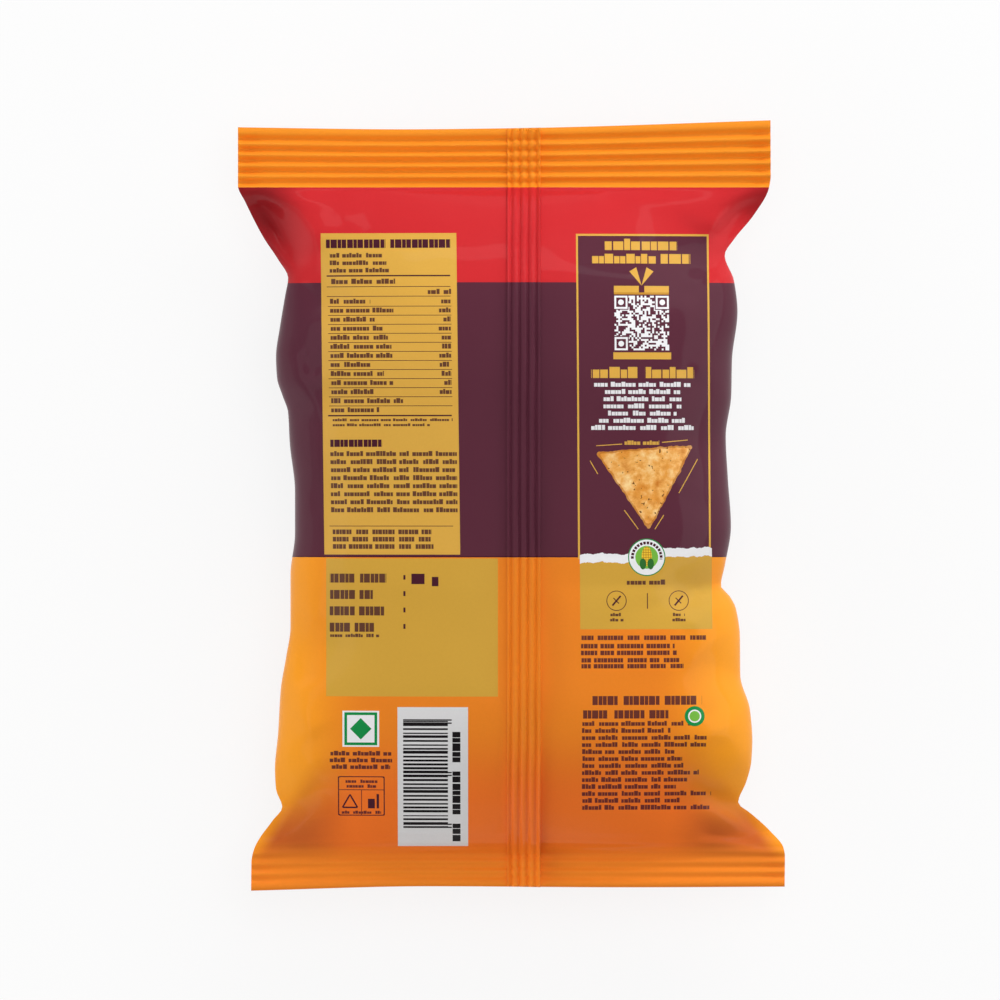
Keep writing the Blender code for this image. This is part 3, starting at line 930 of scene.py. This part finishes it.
def paintLowerRight(pen, x, y, place):
    blocks = [
        dict(left=20.0, right=56.2, top=-37.4, pitch=3, count=1, height=1.3, capital=-1, seed=130),
        dict(left=20.0, right=50.0, top=-39.8, pitch=1.95, count=2, height=1.3, ragged=3,
             capital=-1, seed=132),
        dict(left=20.0, right=52.0, top=-43.9, pitch=1.7, count=2, height=1.25, ragged=5,
             capital=-1, seed=136),
        dict(left=23.3, right=54.9, top=-54.8, pitch=4, count=1, height=2.6, letter=1.5,
             capital=-1, seed=140),
        dict(left=20.4, right=45.2, top=-58.9, pitch=4, count=1, height=2.4, letter=1.5,
             capital=-1, seed=142),
        dict(left=20.3, right=58.2, top=-62.0, pitch=2.03, count=13, height=1.4, ragged=14, seed=150),
    ]
    colour = paintBlocks(pen, bandsWithPaintedLight(pen, x, y), x, y, inks["dark"], blocks)
    # a small round green mark
    for ink, radius in (("green", 2.9), ("white", 1.9), ("leaf", 1.5)):
        colour = pen.paint(colour, inks[ink], pen.disc(x, y, 52.8, -60.7, radius))
    return colour


greenMark = {
    "x": -43.4,
    "y": -64.3,
    "groundWide": 5.3,
    "groundHigh": 5.2,
    "frame": 4.35,
    "frameLine": 0.4,
    "lozenge": 3.1,
}
signFrame = {"x": -43.3, "y": -83.8, "halfWidth": 6.6, "halfHeight": 5.6, "corner": 0.8, "line": 0.16}
triangle = {"x": -46.6, "y": -85.9, "reach": 2.5, "line": 0.45}


def paintMarks(pen, colour, x, y, lines):
    # a square green mark, a framed pair of simple signs, and the lines between them
    calc = pen.calc
    markX, wide = greenMark["x"], greenMark["groundWide"]
    markY, high = greenMark["y"], greenMark["groundHigh"]
    square = pen.box(x, y, markX - wide, markX + wide, markY - high, markY + high)
    colour = pen.paint(colour, inks["white"], square)
    besideX = calc("ABSOLUTE", calc("SUBTRACT", x, markX))
    besideY = calc("ABSOLUTE", calc("SUBTRACT", y, markY))
    reach = calc("MAXIMUM", besideX, besideY)
    outline = calc("COMPARE", reach, greenMark["frame"], greenMark["frameLine"])
    colour = pen.paint(colour, inks["green"], outline)
    lozenge = calc("LESS_THAN", calc("ADD", besideX, besideY), greenMark["lozenge"])
    colour = pen.paint(colour, inks["green"], lozenge)

    def signs():
        yield blockLines(pen, lines, x, y, -53.4, -33.4, -70.7, 1.95, 3, 1.35, ragged=3.5, align=0.5,
                         letter=1.1, seed=170)
        stretch = signFrame["halfWidth"] / signFrame["halfHeight"]
        tall = calc("ABSOLUTE", calc("MULTIPLY", calc("SUBTRACT", y, signFrame["y"]), stretch))
        broad = calc("ABSOLUTE", calc("SUBTRACT", x, signFrame["x"]))
        rounded = calc("SMOOTH_MAX", broad, tall, signFrame["corner"])
        yield calc("COMPARE", rounded, signFrame["halfWidth"], signFrame["line"])
        yield blockLines(pen, lines, x, y, -48.0, -38.6, -79.0, 1.4, 2, 1.0, ragged=1, align=0.5,
                         letter=0.85, seed=175)
        yield pen.box(x, y, -49.8, -36.8, -82.1, -81.9)
        yield pen.box(x, y, -43.35, -43.15, -89.3, -82.0)
        corners = []
        for turn in (90, 210, 330):
            angle = math.radians(turn)
            corners.append((triangle["x"] + triangle["reach"] * math.cos(angle),
                            triangle["y"] + triangle["reach"] * math.sin(angle)))
        for start, end in zip(corners, corners[1:] + corners[:1]):
            yield pen.stroke(x, y, *start, *end, triangle["line"])
        yield pen.box(x, y, -41.4, -39.4, -87.4, -84.6)
        yield pen.box(x, y, -38.9, -38.2, -87.4, -83.2)
        yield blockLines(pen, lines, x, y, -49.0, -37.6, -88.1, 3, 1, 0.9, letter=0.8, seed=178)
    return pen.paint(colour, inks["dark"], pen.most(signs()))


bars = {
    "left": -31.2,
    "right": -18.3,
    "bottom": -93.1,
    "top": -61.7,
    "pitch": 1.14,  # each bar and the space after it share this unevenly
    "narrowest": 0.27,
    "spread": 0.5,
    "guardRight": -17.2,
    "guardWidth": 0.4,
    "guards": (-93.1, -92.2, -77.9, -77.1, -62.8, -61.9),
}


def paintBarField(pen, colour, x, y):
    colour = pen.paint(colour, inks["grey"], pen.box(x, y, -32.8, -12.5, -98.4, -58.0))
    place = pen.calc("DIVIDE", pen.calc("SUBTRACT", y, bars["bottom"]), bars["pitch"])
    share = pen.calc("MULTIPLY", pen.random(pen.calc("FLOOR", place), 8.0), bars["spread"])
    breadth = pen.calc("ADD", share, bars["narrowest"])
    dark = pen.calc("LESS_THAN", pen.calc("FRACT", place), breadth)
    inField = pen.box(x, y, bars["left"], bars["right"], bars["bottom"], bars["top"])
    dark = pen.calc("MULTIPLY", dark, inField)
    # the row of blocks beside the bars runs up the bag
    sideways = pen.calc("MULTIPLY", x, -1.0)
    digits = blockLines(pen, makeLinesGroup(), y, sideways, -97.0, -63.5, 17.0, 4, 1, 2.3, letter=1.9,
                        capital=-1, seed=190, ink=1)
    colour = pen.paint(colour, inks["black"], dark)
    guards = pen.most(pen.box(x, y, bars["left"], bars["guardRight"], low, low + bars["guardWidth"])
                      for low in bars["guards"])
    colour = pen.paint(colour, inks["black"], guards)
    return pen.paint(colour, inks["black"], digits)


def makeInk(name, paintPrint):
    # satin printed film: a soft base under a thin clear gloss, with faint grain in the ink
    ink = bpy.data.materials.new(name)
    ink.use_nodes = True
    pen = Sketch(ink.node_tree)
    shader = ink.node_tree.nodes["Principled BSDF"]
    place = pen.node("ShaderNodeTexCoord").outputs["Object"]
    parts = pen.node("ShaderNodeSeparateXYZ")
    pen.plug(place, parts.inputs[0])
    x = pen.calc("MULTIPLY", parts.outputs[0], 1000.0)
    y = pen.calc("MULTIPLY", parts.outputs[1], 1000.0)
    colour = paintPrint(pen, x, y, place)
    grain = pen.noise(place, 1400.0, detail=3.0)
    cloud = pen.noise(place, 24.0, detail=2.0)
    shade = pen.calc("ADD", pen.calc("MULTIPLY", grain, 0.06), pen.calc("MULTIPLY", cloud, 0.08))
    shaded = pen.node("ShaderNodeHueSaturation")
    pen.plug(colour, shaded.inputs["Color"])
    pen.plug(pen.calc("ADD", shade, 0.93), shaded.inputs["Value"])
    pen.plug(shaded.outputs[0], shader.inputs["Base Color"])
    pen.plug(pen.calc("ADD", pen.calc("MULTIPLY", cloud, 0.12), 0.34), shader.inputs["Roughness"])
    shader.inputs["Specular IOR Level"].default_value = 0.04
    shader.inputs["Coat Weight"].default_value = 0.22
    shader.inputs["Coat Roughness"].default_value = 0.04
    bump = pen.node("ShaderNodeBump")
    bump.inputs["Strength"].default_value = 0.4
    bump.inputs["Distance"].default_value = 0.0006
    pen.plug(pen.noise(place, 55.0, detail=3.0, roughness=0.45), bump.inputs["Height"])
    pen.plug(bump.outputs[0], shader.inputs["Normal"])
    return ink


def paintUpperLeft(pen, x, y, place):
    colour = paintDateGround(pen, bandsWithPaintedLight(pen, x, y), x, y)
    return paintLeftPanel(pen, colour, x, y)


def paintLowerLeft(pen, x, y, place):
    lines = makeLinesGroup()
    colour = paintDateGround(pen, bandsWithPaintedLight(pen, x, y), x, y)
    colour = paintDateLines(pen, colour, x, y, lines)
    colour = paintMarks(pen, colour, x, y, lines)
    return paintBarField(pen, colour, x, y)


def paintBands(pen, x, y, place):
    return bandsWithPaintedLight(pen, x, y)


# large crisps on the front: middle x and y, how much larger, and turn in degrees
frontCrisps = [(-24.0, 8.0, 2.5, -14.0), (24.0, 2.0, 2.3, 21.0), (-2.0, -26.0, 2.7, 4.0)]


def paintFront(pen, x, y, place):
    colour = bandsWithPaintedLight(pen, x, y)
    for centreX, centreY, grown, turn in frontCrisps:
        colour = paintCrisp(pen, colour, x, y, place, centreX, centreY, grown, turn)
    return colour


studio = {
    "cameraHeight": 5.0,
    "viewWidth": 0.2892,
    "viewCentre": (-0.0033, 0.0016),
    "roomLight": 0.3,
    "horizonLight": 0.55,
    "horizonFrom": 0.2,  # sine of the elevation
    "horizonTo": 0.1,
    "floorWhite": 0.85,
    "floorReach": 4.0,
    "floorGap": 0.0002,
}


def makeCamera():
    camera = bpy.data.objects.new("camera", bpy.data.cameras.new("camera"))
    bpy.context.scene.collection.objects.link(camera)
    distance = studio["cameraHeight"]
    camera.location = (*studio["viewCentre"], distance + bag["sealLevel"] * mm)
    camera.data.lens = camera.data.sensor_width * distance / studio["viewWidth"]
    camera.data.clip_end = 20.0
    bpy.context.scene.camera = camera


def makeLamp(name, place, target, width, height, watts, inGloss=True):
    lamp = bpy.data.objects.new(name, bpy.data.lights.new(name, "AREA"))
    bpy.context.scene.collection.objects.link(lamp)
    lamp.data.shape = "RECTANGLE"
    lamp.data.size, lamp.data.size_y = width, height
    lamp.data.energy = watts
    lamp.location = place
    lamp.rotation_euler = (Vector(target) - Vector(place)).to_track_quat("-Z", "Y").to_euler()
    lamp.visible_glossy = inGloss
    return lamp


def makeLights():
    middle = (0.0, 0.0, 0.02)
    makeLamp("overhead", (0.2, 0.25, 1.4), middle, 1.0, 1.0, 6.5, inGloss=False)
    makeLamp("farLamp", (0.35, 1.0, 0.55), middle, 1.0, 0.4, 6.0, inGloss=False)
    makeLamp("leftSoftbox", (-0.75, -0.4, 0.32), middle, 1.1, 0.5, 2.6, inGloss=False)
    makeLamp("leftStrip", (-0.8, -0.05, 0.38), middle, 1.3, 0.2, 0.6)
    makeLamp("farStrip", (0.12, 0.9, 0.5), middle, 0.9, 0.12, 0.5)
    makeLamp("rightSoftbox", (0.8, 0.25, 0.3), middle, 1.5, 0.42, 2.4)
    # a grey room with a white horizon
    world = bpy.data.worlds.new("studio")
    bpy.context.scene.world = world
    world.use_nodes = True
    pen = Sketch(world.node_tree)
    room = world.node_tree.nodes["Background"]
    room.inputs["Color"].default_value = (1.0, 1.0, 1.0, 1.0)
    parts = pen.node("ShaderNodeSeparateXYZ")
    pen.plug(pen.node("ShaderNodeTexCoord").outputs["Generated"], parts.inputs[0])
    low = pen.ramp(parts.outputs[2], studio["horizonFrom"], studio["horizonTo"])
    extra = pen.calc("MULTIPLY", low, studio["horizonLight"] - studio["roomLight"])
    pen.plug(pen.calc("ADD", extra, studio["roomLight"]), room.inputs["Strength"])


def makeFloor():
    form = bmesh.new()
    bmesh.ops.create_grid(form, x_segments=1, y_segments=1, size=studio["floorReach"])
    ground = bpy.data.materials.new("paleFloor")
    ground.use_nodes = True
    pen = Sketch(ground.node_tree)
    shader = ground.node_tree.nodes["Principled BSDF"]
    shader.inputs["Base Color"].default_value = (0.9, 0.9, 0.9, 1.0)
    shader.inputs["Roughness"].default_value = 0.9
    white = pen.node("ShaderNodeEmission")
    white.inputs["Strength"].default_value = 1.0
    either = pen.node("ShaderNodeMixShader")
    ray = pen.node("ShaderNodeLightPath").outputs
    seen = pen.most([ray["Is Camera Ray"], ray["Is Glossy Ray"], ray["Is Transmission Ray"]])
    pen.plug(pen.calc("MULTIPLY", seen, studio["floorWhite"]), either.inputs[0])
    pen.plug(shader.outputs[0], either.inputs[1])
    pen.plug(white.outputs[0], either.inputs[2])
    pen.plug(either.outputs[0], ground.node_tree.nodes["Material Output"].inputs[0])
    floor = finish(form, "floor", [ground])
    for vertex in floor.data.vertices:
        vertex.co.z = -studio["floorGap"]


print("printing inks")
# each part of the back has an ink of its own: left, right, bottom and top in mm
backRegions = [
    (makeInk("upper_left_print", paintUpperLeft), -90, 3.5, -17.5, 120),
    (makeInk("lower_left_print", paintLowerLeft), -90, 3.5, -120, -17.5),
    (makeInk("upper_right_print", paintUpperRight), 3.5, 90, 19.8, 120),
    (makeInk("middle_right_print", paintMiddleRight), 3.5, 90, -36.5, 19.8),
    (makeInk("lower_right_print", paintLowerRight), 3.5, 90, -120, -36.5),
]
frontInk = makeInk("front_print", paintFront)
finInk = makeInk("fin_print", paintBands)

print("forming film")
film = makeFilm(backRegions, frontInk)
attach(film, "root")
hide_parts("sealed_bag")

print("folding fin")
finSeal = makeFin(finInk)
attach(finSeal, "root")

print("lighting studio")
makeFloor()
makeLights()
makeCamera()
bpy.context.scene.view_settings.view_transform = "Standard"
